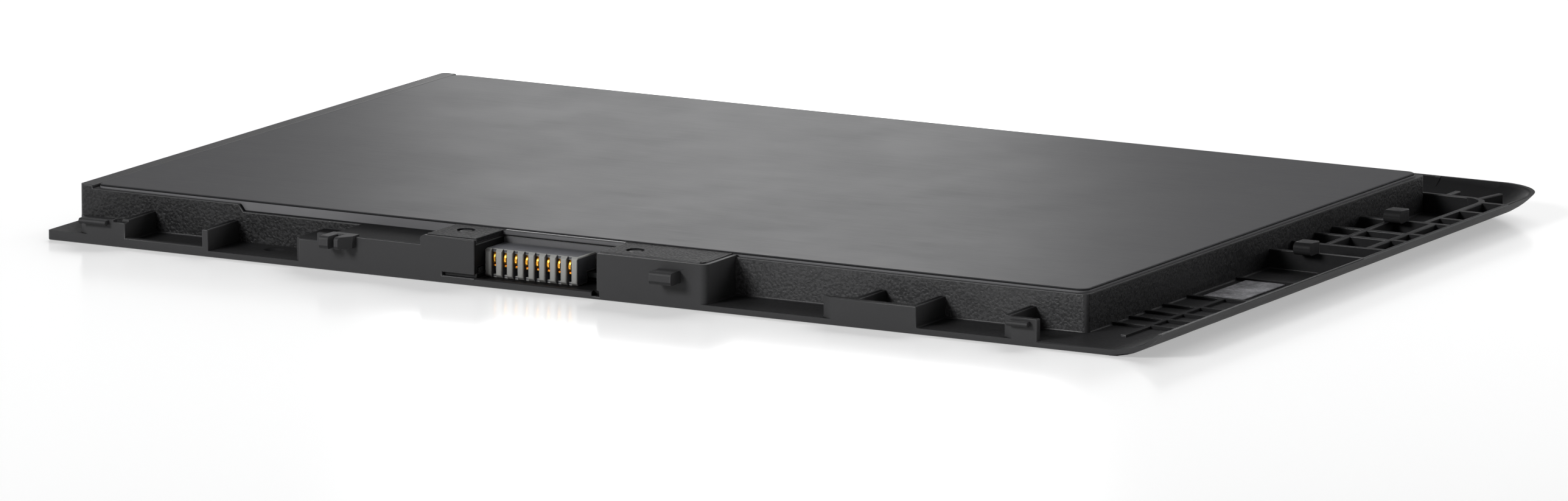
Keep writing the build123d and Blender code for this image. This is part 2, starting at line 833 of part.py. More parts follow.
def all_nodes():
    """Every node of the pack by name."""
    centres = cell_centres()
    front_row = board_front + block_wall_t + max(resistor_size[1], transistor_size[1]) / 2
    transistor_x = sense_slots_x[0] + sense_width / 2 + transistor_size[0] / 2
    next_x = transistor_x + transistor_count * transistor_pitch
    gauge_x = next_x + (gauge_chip_size[0] - transistor_size[0]) / 2
    resistor_x = board_left + board_clearance + resistor_size[0] / 2
    capacitor_y = board_back - block_wall_t
    left_tabs = [x - tab_spacing / 2 for x in centres]
    right_tabs = [x + tab_spacing / 2 for x in centres]
    nodes = {
        "base_tray": base_tray(),
        "cover_plate": cover_plate(),
        "bay_cover": bay_cover(),
        "connector_housing": connector_housing(),
        "connector_contacts": connector_contacts(),
        "circuit_board": circuit_board(),
        "gauge_chip": on_board(gauge_x, front_row, gauge_chip_size),
        "protector_chip": on_board(sense_slots_x[2] - sense_width, front_row, protector_chip_size),
        "power_transistors": [
            on_board(transistor_x + i * transistor_pitch, front_row, transistor_size)
            for i in range(transistor_count)
        ],
        "sense_resistor": on_board(resistor_x, front_row, resistor_size),
        "safety_fuse": on_board(positive_slot_x, front_row, fuse_size),
        "ceramic_capacitors": [
            on_board(transistor_x + i * capacitor_pitch, capacitor_y, capacitor_size)
            for i in range(capacitor_count)
        ],
        "cell_tabs_negative": [tab_strip(x) for x in left_tabs],
        "cell_tabs_positive": [tab_strip(x) for x in right_tabs],
        "series_links": series_links(),
        "lead_negative": end_lead(left_tabs[0], negative_slot_x),
        "lead_positive": end_lead(right_tabs[-1], positive_slot_x),
        "sense_leads": sense_leads(),
        "cell_tapes": cell_pads(cell_tape_inset, cell_tape_width, floor_t, cell_z),
        "lid_foams": cell_pads(foam_inset, cell_tape_width, cell_top, cell_top + foam_t),
        "tab_insulator": stand(
            plan(
                inner_left + insulator_inset,
                inner_right - insulator_inset,
                lead_front,
                terrace_front - insulator_gap,
            ),
            strip_z + strip_t,
            strip_z + strip_t + insulator_t,
        ),
        "side_pad": side_pad(),
    }
    for i, x in enumerate(centres):
        nodes[f"cell_{i + 1}"] = pouch_cell(x)
    return nodes


os.makedirs("parts", exist_ok=True)
for name, pieces in all_nodes().items():
    export_step(place(pieces), f"parts/{name}.step")
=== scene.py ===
"""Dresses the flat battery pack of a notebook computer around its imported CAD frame.

Every length is in metres in the CAD frame, and sizes are written in millimetres through mm().
"""

import json
import logging
import math
from dataclasses import dataclass
from enum import Enum
from typing import Callable

import bmesh
import bpy
from mathutils import Euler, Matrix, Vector

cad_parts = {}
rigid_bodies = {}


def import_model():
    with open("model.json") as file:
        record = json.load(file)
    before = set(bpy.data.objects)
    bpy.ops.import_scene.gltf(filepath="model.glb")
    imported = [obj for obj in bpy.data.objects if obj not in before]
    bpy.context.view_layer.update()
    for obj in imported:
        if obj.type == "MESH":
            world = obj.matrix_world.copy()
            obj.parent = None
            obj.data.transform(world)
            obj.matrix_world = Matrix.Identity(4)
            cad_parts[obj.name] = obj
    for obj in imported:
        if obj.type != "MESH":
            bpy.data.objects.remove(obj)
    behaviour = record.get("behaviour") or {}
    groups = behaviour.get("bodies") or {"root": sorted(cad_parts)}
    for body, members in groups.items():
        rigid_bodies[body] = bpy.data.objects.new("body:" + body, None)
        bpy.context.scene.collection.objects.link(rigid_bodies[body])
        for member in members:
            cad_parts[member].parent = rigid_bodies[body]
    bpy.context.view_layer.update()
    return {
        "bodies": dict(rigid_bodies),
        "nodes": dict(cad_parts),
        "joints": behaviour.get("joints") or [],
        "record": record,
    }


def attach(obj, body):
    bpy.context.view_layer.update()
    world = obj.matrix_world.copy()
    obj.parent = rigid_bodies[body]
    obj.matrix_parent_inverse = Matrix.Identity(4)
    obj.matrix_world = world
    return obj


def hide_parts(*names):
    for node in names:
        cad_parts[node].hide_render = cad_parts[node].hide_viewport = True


LOG = logging.getLogger("battery_pack")
BODY = "root"
WHITE = (1.0, 1.0, 1.0, 1.0)

# Shares of a face's normal along an axis, from a face that hardly looks that way to a level one.
SLIGHT = 0.05
LEANING = 0.2
DIAGONAL = 0.45
HALFWAY = 0.5
MOSTLY = 0.6
NEARLY = 0.85
FLAT = 0.9
LEVEL = 0.95

# Points closer than this are one point, and faces that meet at less than this are one face.
MERGE_MM = 0.001
MERGE_DEG = 1.0
# Steps across a bevel, and the angle and the weight that even out the shading beside it.
BEVEL_SEGMENTS = 3
SMOOTH_DEG = 40.0
NORMAL_WEIGHT = 80
# How many times its width a bevel needs along the edge and across the faces beside it.
BEVEL_ROOM = 2.5
# What a fillet needs: an inner corner this sharp, and these multiples of its width.
FOOT_DEG = -60.0
FOOT_LENGTH = 6.0
FOOT_ROOM = 3.0
# Where along an edge the room beside it is measured, and the room where nothing limits it.
ROOM_SHARES = (0.04, 0.5, 0.96)
OPEN_ROOM_MM = 1000.0

Plane = tuple[Vector, Vector]
Frame = dict[str, object]
FaceTest = Callable[[Vector, Vector], bool]
EdgeTest = Callable[[bmesh.types.BMEdge], bool]


def mm(value: float) -> float:
    """Gives a length in millimetres as metres."""
    return value * 0.001


def in_mm(point: Vector) -> Vector:
    """Gives a point in metres as one in millimetres."""
    return point * 1000.0


def plane_across(axis: int, at_mm: float) -> Plane:
    """Gives the plane across an axis, as a point in millimetres and a normal.

    Args:
        axis: 0, 1 or 2 for X, Y or Z.
        at_mm: Where the plane crosses the axis.

    Returns:
        A point of the plane, mm, and its normal.
    """
    normal = Vector((0.0, 0.0, 0.0))
    normal[axis] = 1.0
    return normal * at_mm, normal


def per_metre(size_mm: float) -> float:
    """Gives the texture scale that repeats about once in a length in millimetres."""
    return 1000.0 / size_mm


def linear(code: str) -> tuple[float, float, float, float]:
    """Turns an sRGB hex colour into the linear colour that shaders use.

    Args:
        code: Six hex digits with a leading hash.

    Returns:
        Red, green, blue and alpha, linear.
    """
    parts = [int(code[i : i + 2], 16) / 255.0 for i in (1, 3, 5)]
    out = [p / 12.92 if p <= 0.04045 else ((p + 0.055) / 1.055) ** 2.4 for p in parts]
    return out[0], out[1], out[2], 1.0


def add_node(
    tree: bpy.types.NodeTree,
    kind: str,
    settings: dict[str | int, object] | None = None,
    links: dict[str | int, bpy.types.NodeSocket] | None = None,
) -> bpy.types.Node:
    """Adds one shader node with its settings and links.

    Args:
        tree: The node tree that gets the node.
        kind: Blender's name for the node's type.
        settings: Values for the node's own properties or for its input sockets.
        links: Sockets of earlier nodes, by the input that they go to.

    Returns:
        The new node.
    """
    node = tree.nodes.new(kind)
    for key, value in (settings or {}).items():
        if isinstance(key, str) and key.islower() and hasattr(node, key):
            setattr(node, key, value)
        else:
            node.inputs[key].default_value = value
    for key, socket in (links or {}).items():
        tree.links.new(socket, node.inputs[key])
    return node


def noise(
    tree: bpy.types.NodeTree,
    place: bpy.types.NodeSocket,
    size_mm: float,
    detail: float,
    roughness: float = 0.5,
    distortion: float = 0.0,
) -> bpy.types.NodeSocket:
    """Adds a noise texture.

    Args:
        tree: The node tree that gets it.
        place: The socket with the coordinates.
        size_mm: Size of one lump.
        detail: How many finer layers it has.
        roughness: How strong the finer layers are.
        distortion: How far it is twisted.

    Returns:
        The socket with the noise, about 0 to 1.
    """
    settings = {
        "Scale": per_metre(size_mm),
        "Detail": detail,
        "Roughness": roughness,
        "Distortion": distortion,
    }
    return add_node(tree, "ShaderNodeTexNoise", settings, {"Vector": place}).outputs["Fac"]


def map_range(
    tree: bpy.types.NodeTree,
    value: bpy.types.NodeSocket,
    source: tuple[float, float],
    target: tuple[float, float] = (0.0, 1.0),
    smooth: bool = False,
) -> bpy.types.NodeSocket:
    """Adds a node that maps one range of values to another.

    Args:
        tree: The node tree that gets it.
        value: The socket with the values.
        source: Two values that come in.
        target: What the two become.
        smooth: Whether the ends are eased.

    Returns:
        The socket with the mapped values.
    """
    settings = {
        "interpolation_type": "SMOOTHSTEP" if smooth else "LINEAR",
        "From Min": source[0],
        "From Max": source[1],
        "To Min": target[0],
        "To Max": target[1],
    }
    return add_node(tree, "ShaderNodeMapRange", settings, {"Value": value}).outputs[0]


class Grain(Enum):
    """How a surface was made, which gives the shape of its fine relief."""

    SPARK = "spark-eroded mould"
    SATIN = "blasted mould"
    ROLLED = "rolled sheet"
    FELT = "needled felt"
    WEAVE = "woven glass under resin"
    CRINKLE = "pressed film"


# Detail, roughness and distortion of the noise that draws a grain.
GRAIN_NOISE = {
    Grain.SPARK: (1.0, 0.45, 0.3),
    Grain.SATIN: (2.0, 0.5, 0.0),
    Grain.ROLLED: (3.0, 0.6, 0.0),
    Grain.FELT: (5.0, 0.75, 2.2),
}
# Part of the noise that makes the slopes of a spark-eroded pit.
PIT_SLOPE = (0.25, 0.75)
# How rolling draws the grain of a sheet out along X.
ROLLED_DRAW = (0.06, 1.0, 1.0)
# A wave texture counts its scale in radians, not in threads, and threads wander a little.
WEAVE_TURN = 6.28
WEAVE_WANDER = 0.4
# How far the cells of pressed film run into one another.
CRINKLE_SMOOTHNESS = 0.9
# Detail and roughness of the slow changes of tone, and detail of the waves of a sheet.
BLOTCH_NOISE = (3.0, 0.55)
WAVE_DETAIL = 1.0
# Range of relief times blotch that colour and roughness follow.
TONES = (0.1, 0.45)


@dataclass(frozen=True)
class Finish:
    """One real surface: its colour, its gloss and its relief.

    Attributes:
        name: Name of the material, after the real one and how it was made.
        colour: Main colour, sRGB hex.
        fleck: Colour that the grain and the blotches lean to, sRGB hex.
        grain: How the surface was made.
        grain_mm: Size of one grain of the relief.
        depth_mm: Height of the relief.
        roughness: Lowest and highest roughness over the surface.
        fleck_share: How far the grain pulls the colour towards the fleck.
        blotch_mm: Size of the slow changes of tone.
        metallic: 1 for bare metal.
        ior: Refractive index.
        specular: Strength of the mirror-like part, 0.5 for a plain dielectric.
        wave_mm: Length of the slow waves that a thin sheet keeps, or 0.
        wave_depth_mm: Height of those waves.
    """

    name: str
    colour: str
    fleck: str
    grain: Grain
    grain_mm: float
    depth_mm: float
    roughness: tuple[float, float]
    fleck_share: float = 0.35
    blotch_mm: float = 14.0
    metallic: float = 0.0
    ior: float = 1.5
    specular: float = 0.5
    wave_mm: float = 0.0
    wave_depth_mm: float = 0.0

    def material(self) -> bpy.types.Material:
        """Builds the material, or gives the one that was built before.

        Returns:
            The material, with procedural colour, roughness and bump.
        """
        done = bpy.data.materials.get(self.name)
        if done is not None:
            return done
        made = bpy.data.materials.new(self.name)
        made.use_nodes = True
        tree = made.node_tree
        tree.nodes.clear()
        place = add_node(tree, "ShaderNodeTexCoord").outputs["Object"]
        relief = self.relief(tree, place)
        blotch = noise(tree, place, self.blotch_mm, *BLOTCH_NOISE)
        mixed = add_node(
            tree, "ShaderNodeMath", {"operation": "MULTIPLY"}, {0: relief, 1: blotch}
        ).outputs[0]
        share = map_range(tree, mixed, TONES, (0.0, self.fleck_share))
        rough = map_range(tree, mixed, TONES, self.roughness)
        tint = add_node(
            tree,
            "ShaderNodeMix",
            {"data_type": "RGBA", 6: linear(self.colour), 7: linear(self.fleck)},
            {0: share},
        ).outputs[2]
        normal = add_node(
            tree,
            "ShaderNodeBump",
            {"Strength": 1.0, "Distance": mm(self.depth_mm)},
            {"Height": relief},
        ).outputs[0]
        if self.wave_mm:
            wave = noise(tree, place, self.wave_mm, WAVE_DETAIL)
            normal = add_node(
                tree,
                "ShaderNodeBump",
                {"Strength": 1.0, "Distance": mm(self.wave_depth_mm)},
                {"Height": wave, "Normal": normal},
            ).outputs[0]
        shader = add_node(
            tree,
            "ShaderNodeBsdfPrincipled",
            {
                "Metallic": self.metallic,
                "IOR": self.ior,
                "Specular IOR Level": self.specular,
            },
            {"Base Color": tint, "Roughness": rough, "Normal": normal},
        )
        add_node(tree, "ShaderNodeOutputMaterial", None, {"Surface": shader.outputs[0]})
        return made

    def relief(
        self, tree: bpy.types.NodeTree, place: bpy.types.NodeSocket
    ) -> bpy.types.NodeSocket:
        """Adds the nodes of the fine relief.

        Args:
            tree: The material's node tree.
            place: The socket with the Object coordinates.

        Returns:
            The socket with the relief's height, about 0 to 1.
        """
        scale = per_metre(self.grain_mm)
        if self.grain is Grain.WEAVE:
            over, under = (
                add_node(
                    tree,
                    "ShaderNodeTexWave",
                    {
                        "bands_direction": way,
                        "Scale": scale / WEAVE_TURN,
                        "Distortion": WEAVE_WANDER,
                    },
                    {"Vector": place},
                ).outputs["Fac"]
                for way in ("X", "Y")
            )
            return add_node(
                tree, "ShaderNodeMath", {"operation": "MAXIMUM"}, {0: over, 1: under}
            ).outputs[0]
        if self.grain is Grain.CRINKLE:
            return add_node(
                tree,
                "ShaderNodeTexVoronoi",
                {"feature": "SMOOTH_F1", "Scale": scale, "Smoothness": CRINKLE_SMOOTHNESS},
                {"Vector": place},
            ).outputs["Distance"]
        if self.grain is Grain.ROLLED:
            place = add_node(
                tree, "ShaderNodeMapping", {"Scale": ROLLED_DRAW}, {"Vector": place}
            ).outputs[0]
        height = noise(tree, place, self.grain_mm, *GRAIN_NOISE[self.grain])
        if self.grain is Grain.SPARK:
            height = map_range(tree, height, PIT_SLOPE, smooth=True)
        return height


# Injection-moulded PC/ABS from a blasted mould: an even charcoal that takes a soft, low sheen.
TRAY_FACE = Finish(
    "pcabs_moulded_satin",
    "#3e3e3f",
    "#464647",
    Grain.SATIN,
    0.35,
    0.006,
    (0.45, 0.58),
    specular=0.2,
)
# Broken edges of the same plastic, polished a little in handling: thin pale lines of light.
TRAY_EDGE = Finish(
    "pcabs_moulded_edge",
    "#3c3c3d",
    "#48484a",
    Grain.SATIN,
    0.3,
    0.004,
    (0.3, 0.42),
    specular=0.28,
)
# The same plastic from a spark-eroded mould: soft pits and pebbles that catch small lights.
# The real pits are about 0.3 mm wide, and are drawn half as wide again so that they show, here
# and in the other finishes with this grain.
TRAY_WALL = Finish(
    "pcabs_moulded_spark_eroded",
    "#404041",
    "#5c5c5d",
    Grain.SPARK,
    0.46,
    0.055,
    (0.36, 0.5),
    fleck_share=0.5,
    blotch_mm=7.0,
    specular=0.25,
    wave_mm=9.0,
    wave_depth_mm=0.16,
)
# Right and back walls, smoother, with slow cloudy patches; their dark colour is painted shade.
TRAY_SIDE_SHADED = Finish(
    "pcabs_moulded_clouded_painted_shade",
    "#29292a",
    "#3c3c3d",
    Grain.SPARK,
    0.46,
    0.025,
    (0.36, 0.54),
    fleck_share=0.35,
    blotch_mm=16.0,
    specular=0.25,
    wave_mm=12.0,
    wave_depth_mm=0.15,
)
# The left end of the front wall, left of the bay: coloured darker, with shallow dents.
TRAY_WALL_DARKER = Finish(
    "pcabs_moulded_spark_eroded_darker",
    "#232324",
    "#414142",
    Grain.SPARK,
    0.46,
    0.055,
    (0.38, 0.54),
    fleck_share=0.6,
    blotch_mm=9.0,
    specular=0.25,
    wave_mm=7.0,
    wave_depth_mm=0.3,
)
# The bay's back wall, from a polished part of the mould: plain, smooth and paler than the rest.
BAY_WALL = Finish(
    "pcabs_moulded_polished",
    "#68686a",
    "#757577",
    Grain.SATIN,
    0.4,
    0.004,
    (0.3, 0.42),
    specular=0.4,
)
# The rest of the bay: dull, and coloured close to black as painted shade in the recess.
BAY_SHADE = Finish(
    "pcabs_moulded_bay_painted_shade", "#151516", "#1e1e1f", Grain.SATIN, 0.4, 0.006, (0.5, 0.62), specular=0.1
)
# Floors and ribs of the flanges, a little glossier; their darker colour is painted shade.
TRAY_FLOOR_SHADED = Finish(
    "pcabs_moulded_floor_painted_shade",
    "#2a2a2b",
    "#353536",
    Grain.SATIN,
    0.6,
    0.012,
    (0.4, 0.54),
    specular=0.12,
)
# Flat tops of tabs and ledges, with hardly any sheen: deep charcoal, painted shade on tops.
TRAY_LEDGE_SHADED = Finish(
    "pcabs_moulded_top_painted_shade",
    "#202021",
    "#2a2a2b",
    Grain.SATIN,
    0.3,
    0.005,
    (0.5, 0.62),
    specular=0.03,
)
# The inside of the turned-up hull: dull, and coloured near black where it turns upwards.
TRAY_HULL = Finish(
    "pcabs_moulded_dull",
    "#222223",
    "#2c2c2d",
    Grain.SATIN,
    0.5,
    0.006,
    (0.5, 0.62),
    specular=0.12,
)
# The tray's outside: an even lacquered skin, dry to the touch, darkened as painted shade.
TRAY_SKIN_SHADED = Finish(
    "pcabs_soft_lacquer_painted_shade",
    "#2e2e2f",
    "#363637",
    Grain.SATIN,
    0.3,
    0.004,
    (0.5, 0.6),
    specular=0.15,
)
# Rolled aluminium with a charcoal lacquer: silky, with slow waves that bend a lamp's reflection.
LID_SHEET = Finish(
    "aluminium_sheet_charcoal_lacquer",
    "#424244",
    "#4a4a4c",
    Grain.ROLLED,
    0.5,
    0.003,
    (0.4, 0.46),
    specular=0.05,
    wave_mm=45.0,
    wave_depth_mm=0.08,
)
# The steep part of the lid's fold, coloured dark as painted shade: a thin dark line.
LID_FOLD_SHADE = Finish(
    "aluminium_sheet_fold_painted_shade",
    "#1c1c1d",
    "#242425",
    Grain.ROLLED,
    0.5,
    0.002,
    (0.5, 0.58),
    specular=0.05,
)
# The folded-down side: a paler grey as painted light where it faces forwards, with a soft sheen.
LID_SIDE_LIT = Finish(
    "aluminium_sheet_side_painted_light",
    "#747476",
    "#808083",
    Grain.ROLLED,
    0.5,
    0.002,
    (0.34, 0.44),
    specular=0.4,
)
# The cap comes from a coarser spark-eroded mould: a pebbled face that glitters at a low angle.
CAP_GRAIN = Finish(
    "pcabs_moulded_pebbled",
    "#242425",
    "#3b3b3d",
    Grain.SPARK,
    0.45,
    0.04,
    (0.45, 0.58),
    specular=0.025,
)
# Glass-filled polyamide: a dull blue-grey with short pale fibres at the surface.
CONNECTOR_BODY = Finish(
    "polyamide_glass_filled", "#56575c", "#76777b", Grain.FELT, 0.5, 0.012, (0.45, 0.6)
)
# The blades' noses, the faces that look forwards: paler and drier than the rest.
CONNECTOR_NOSE = Finish(
    "polyamide_nose_paler", "#a4a4a1", "#c0c0bc", Grain.FELT, 0.4, 0.015, (0.45, 0.6)
)
# Gold plate over copper alloy: a warm mirror, a little streaked by the rolling under it.
CONTACT_GOLD = Finish(
    "copper_alloy_gold_plated",
    "#e0a03c",
    "#b97822",
    Grain.ROLLED,
    0.2,
    0.002,
    (0.2, 0.34),
    metallic=1.0,
)
# Needled felt over foam: matt grey with pale and dark fibre ends.
PAD_FELT = Finish(
    "needled_felt_grey", "#454548", "#99999c", Grain.FELT, 0.9, 0.06, (0.85, 0.95), 1.0, 2.5
)
# Open foam, cut from a block: matt dark grey with small pores.
FOAM = Finish("urethane_foam_cut", "#4a4a4c", "#5c5c5f", Grain.CRINKLE, 0.5, 0.05, (0.9, 0.97))
# Glass cloth under black solder resist: a glossy near-black with the weave showing through.
BOARD = Finish(
    "glass_epoxy_black_resist", "#17191a", "#212425", Grain.WEAVE, 0.7, 0.01, (0.26, 0.38)
)
# Moulded epoxy over a chip: matt black with a fine blasted grain.
CHIP = Finish("epoxy_moulded_black", "#222224", "#303033", Grain.SATIN, 0.15, 0.006, (0.5, 0.62))
# Fired ceramic bodies of small parts: dry tan with fine grain.
CERAMIC = Finish("ceramic_fired_tan", "#a8967c", "#8f7d64", Grain.SATIN, 0.12, 0.004, (0.5, 0.62))
# Aluminium laminate round a pouch cell: silver, dimpled a little where it is drawn tight.
CELL_FOIL = Finish(
    "aluminium_laminate_pressed",
    "#c9c9cc",
    "#b8b8bc",
    Grain.CRINKLE,
    3.0,
    0.03,
    (0.3, 0.42),
    metallic=1.0,
)
# Nickel strip as rolled: warm silver with fine lines along the strip.
NICKEL = Finish(
    "nickel_strip_rolled",
    "#c6c2b8",
    "#b2ada2",
    Grain.ROLLED,
    0.15,
    0.003,
    (0.3, 0.42),
    metallic=1.0,
)
# Aluminium strip as rolled: paler and softer than the nickel.
ALUMINIUM = Finish(
    "aluminium_strip_rolled",
    "#d3d3d5",
    "#c2c2c5",
    Grain.ROLLED,
    0.15,
    0.003,
    (0.34, 0.46),
    metallic=1.0,
)
# Polyester tape: milky, smooth, with slight ripples where it was pressed down.
TAPE = Finish("polyester_tape", "#d2d2cd", "#c4c4be", Grain.CRINKLE, 1.5, 0.01, (0.28, 0.4))
# Fish paper: dull grey-green with short fibres.
PAPER = Finish(
    "vulcanised_fibre_paper", "#4e5248", "#5e6257", Grain.FELT, 0.6, 0.015, (0.75, 0.88)
)


def alone(piece: bpy.types.Object) -> None:
    """Deselects everything, then selects one piece and makes it the active one.

    Args:
        piece: The piece.
    """
    bpy.ops.object.select_all(action="DESELECT")
    piece.select_set(True)
    bpy.context.view_layer.objects.active = piece


def dress(piece: bpy.types.Object, finishes: tuple[Finish, ...]) -> None:
    """Gives a piece its materials.

    Args:
        piece: The piece, which loses the materials it had.
        finishes: One finish for each material slot, in order.
    """
    piece.data.materials.clear()
    for finish in finishes:
        piece.data.materials.append(finish.material())


@dataclass
class SoftenedPart:
    """A CAD solid whose sharp edges are broken, as a mould or a press leaves them.

    Attributes:
        node: The CAD node that the piece stands for.
        name: The piece's name.
        slot: The record's material slot; not used.
        finishes: The finish of the plain faces, that of the broken edges, then those of regions.
        widths_mm: Widths of the broken edges: each edge gets the first that it has room for.
        corner_mm: Width of the fillet where a wall stands on a floor, or 0.
        cuts: Planes along which some faces are divided, as a point and a normal.
        cut_test: Picks the faces that the planes divide.
        shortest_mm: Edges shorter than this stay sharp.
        flattest_deg: Edges flatter than this are part of a curve and stay as they are.
    """

    node: str
    name: str
    slot: str
    finishes: tuple[Finish, ...]
    widths_mm: tuple[float, ...] = (0.2, 0.1)
    corner_mm: float = 0.0
    cuts: tuple[Plane, ...] = ()
    cut_test: FaceTest | None = None
    shortest_mm: float = 0.45
    flattest_deg: float = 32.0

    def build(self, frame: Frame) -> bpy.types.Object:
        """Copies the node's mesh, breaks its edges and dresses it.


        Returns:
            The finished piece, riding on the body.
        """
        mesh = frame["nodes"][self.node].data.copy()
        piece = bpy.data.objects.new(self.name, mesh)
        bpy.context.scene.collection.objects.link(piece)
        alone(piece)
        bpy.ops.mesh.customdata_custom_splitnormals_clear()
        dress(piece, self.finishes)
        self.merge()
        for place, normal in self.cuts:
            self.divide(piece, place, normal)
        if self.corner_mm:
            self.bevel(piece, self.corner_mm, self.is_foot)
        for width in self.widths_mm:
            self.bevel(piece, width, lambda edge: self.has_room(edge, width))
        bpy.ops.object.shade_smooth_by_angle(angle=math.radians(SMOOTH_DEG))
        even = piece.modifiers.new("even_normals", "WEIGHTED_NORMAL")
        even.keep_sharp = True
        even.weight = NORMAL_WEIGHT
        bpy.ops.object.modifier_apply(modifier=even.name)
        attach(piece, BODY)
        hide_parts(self.node)
        return piece

    def merge(self) -> None:
        """Joins the loose triangles of the active piece into whole flat faces."""
        bpy.ops.object.mode_set(mode="EDIT")
        bpy.ops.mesh.select_all(action="SELECT")
        bpy.ops.mesh.remove_doubles(threshold=mm(MERGE_MM))
        bpy.ops.mesh.dissolve_limited(angle_limit=math.radians(MERGE_DEG))
        bpy.ops.object.mode_set(mode="OBJECT")

    def divide(self, piece: bpy.types.Object, place: Vector, normal: Vector) -> None:
        """Divides the picked faces along a plane.

        Args:
            piece: The merged copy, which is the active object.
            place: A point of the plane, mm.
            normal: The plane's normal.
        """
        bpy.ops.object.mode_set(mode="EDIT")
        bpy.ops.mesh.select_mode(type="FACE")
        bpy.ops.mesh.select_all(action="DESELECT")
        work = bmesh.from_edit_mesh(piece.data)
        for face in work.faces:
            face.select_set(self.cut_test(in_mm(face.calc_center_median()), face.normal))
        bmesh.update_edit_mesh(piece.data)
        bpy.ops.mesh.bisect(plane_co=place * mm(1.0), plane_no=normal)
        bpy.ops.object.mode_set(mode="OBJECT")

    def bevel(self, piece: bpy.types.Object, width_mm: float, test: EdgeTest) -> None:
        """Bevels the edges that pass a test and gives the new faces the edge finish.

        Args:
            piece: The merged copy, which is the active object.
            width_mm: Width of the bevel.
            test: Tells whether an edge is one of them.
        """
        bpy.ops.object.mode_set(mode="EDIT")
        bpy.ops.mesh.select_mode(type="EDGE")
        bpy.ops.mesh.select_all(action="DESELECT")
        work = bmesh.from_edit_mesh(piece.data)
        for edge in work.edges:
            edge.select_set(test(edge))
        bmesh.update_edit_mesh(piece.data)
        bpy.ops.mesh.bevel(
            offset=mm(width_mm),
            segments=BEVEL_SEGMENTS,
            profile=0.5,
            clamp_overlap=False,
            material=1,
        )
        bpy.ops.object.mode_set(mode="OBJECT")

    def is_foot(self, edge: bmesh.types.BMEdge) -> bool:
        """Tells whether an edge is a long inner corner between an upright wall and a floor.

        Args:
            edge: An edge of the merged copy.

        Returns:
            True where the corner can be filled.
        """
        if not edge.is_manifold or edge.calc_length() < mm(self.corner_mm) * FOOT_LENGTH:
            return False
        if edge.calc_face_angle_signed() > math.radians(FOOT_DEG):
            return False
        slopes = sorted(face.normal.z for face in edge.link_faces)
        if abs(slopes[0]) > LEANING or slopes[1] < LEVEL:
            return False
        return min(map(self.room_beside, edge.link_loops)) >= mm(self.corner_mm) * FOOT_ROOM

    def has_room(self, edge: bmesh.types.BMEdge, width_mm: float) -> bool:
        """Tells whether an edge is sharp, points outwards and has wide faces beside it.

        Args:
            edge: An edge of the merged copy.
            width_mm: Width of the bevel that it would get.

        Returns:
            True where the edge can be broken.
        """
        shortest = max(self.shortest_mm, width_mm * BEVEL_ROOM)
        if not edge.is_manifold or edge.calc_length() < mm(shortest):
            return False
        if edge.calc_face_angle_signed() < math.radians(self.flattest_deg):
            return False
        return min(map(self.room_beside, edge.link_loops)) >= mm(width_mm) * BEVEL_ROOM

    def room_beside(self, loop: bmesh.types.BMLoop) -> float:
        """Measures how far a face reaches from one of its edges, at its narrowest.

        Args:
            loop: The edge's side that belongs to the face.

        Returns:
            The least distance across the face from three points of the edge, m.
        """
        start, end = loop.vert.co, loop.link_loop_next.vert.co
        along = (end - start).normalized()
        inward = loop.face.normal.cross(along)
        least = mm(OPEN_ROOM_MM)
        for share in ROOM_SHARES:
            point = start.lerp(end, share)
            for other in loop.face.edges:
                if other is loop.edge:
                    continue
                near, far = (vert.co - point for vert in other.verts)
                before, after = near.dot(along), far.dot(along)
                if before * after >= 0.0:
                    continue
                across = near.lerp(far, before / (before - after)).dot(inward)
                if across > 0.0:
                    least = min(least, across)
        return least


def pick_faces(piece: bpy.types.Object, slot: int, test: FaceTest) -> None:
    """Gives the plain faces that pass a test another material slot of the piece.

    Args:
        piece: The piece, already dressed.
        slot: Number of the material slot.
        test: Takes a face's centre in millimetres and its normal.
    """
    for face in piece.data.polygons:
        if face.material_index == 0 and test(in_mm(face.center), face.normal):
            face.material_index = slot


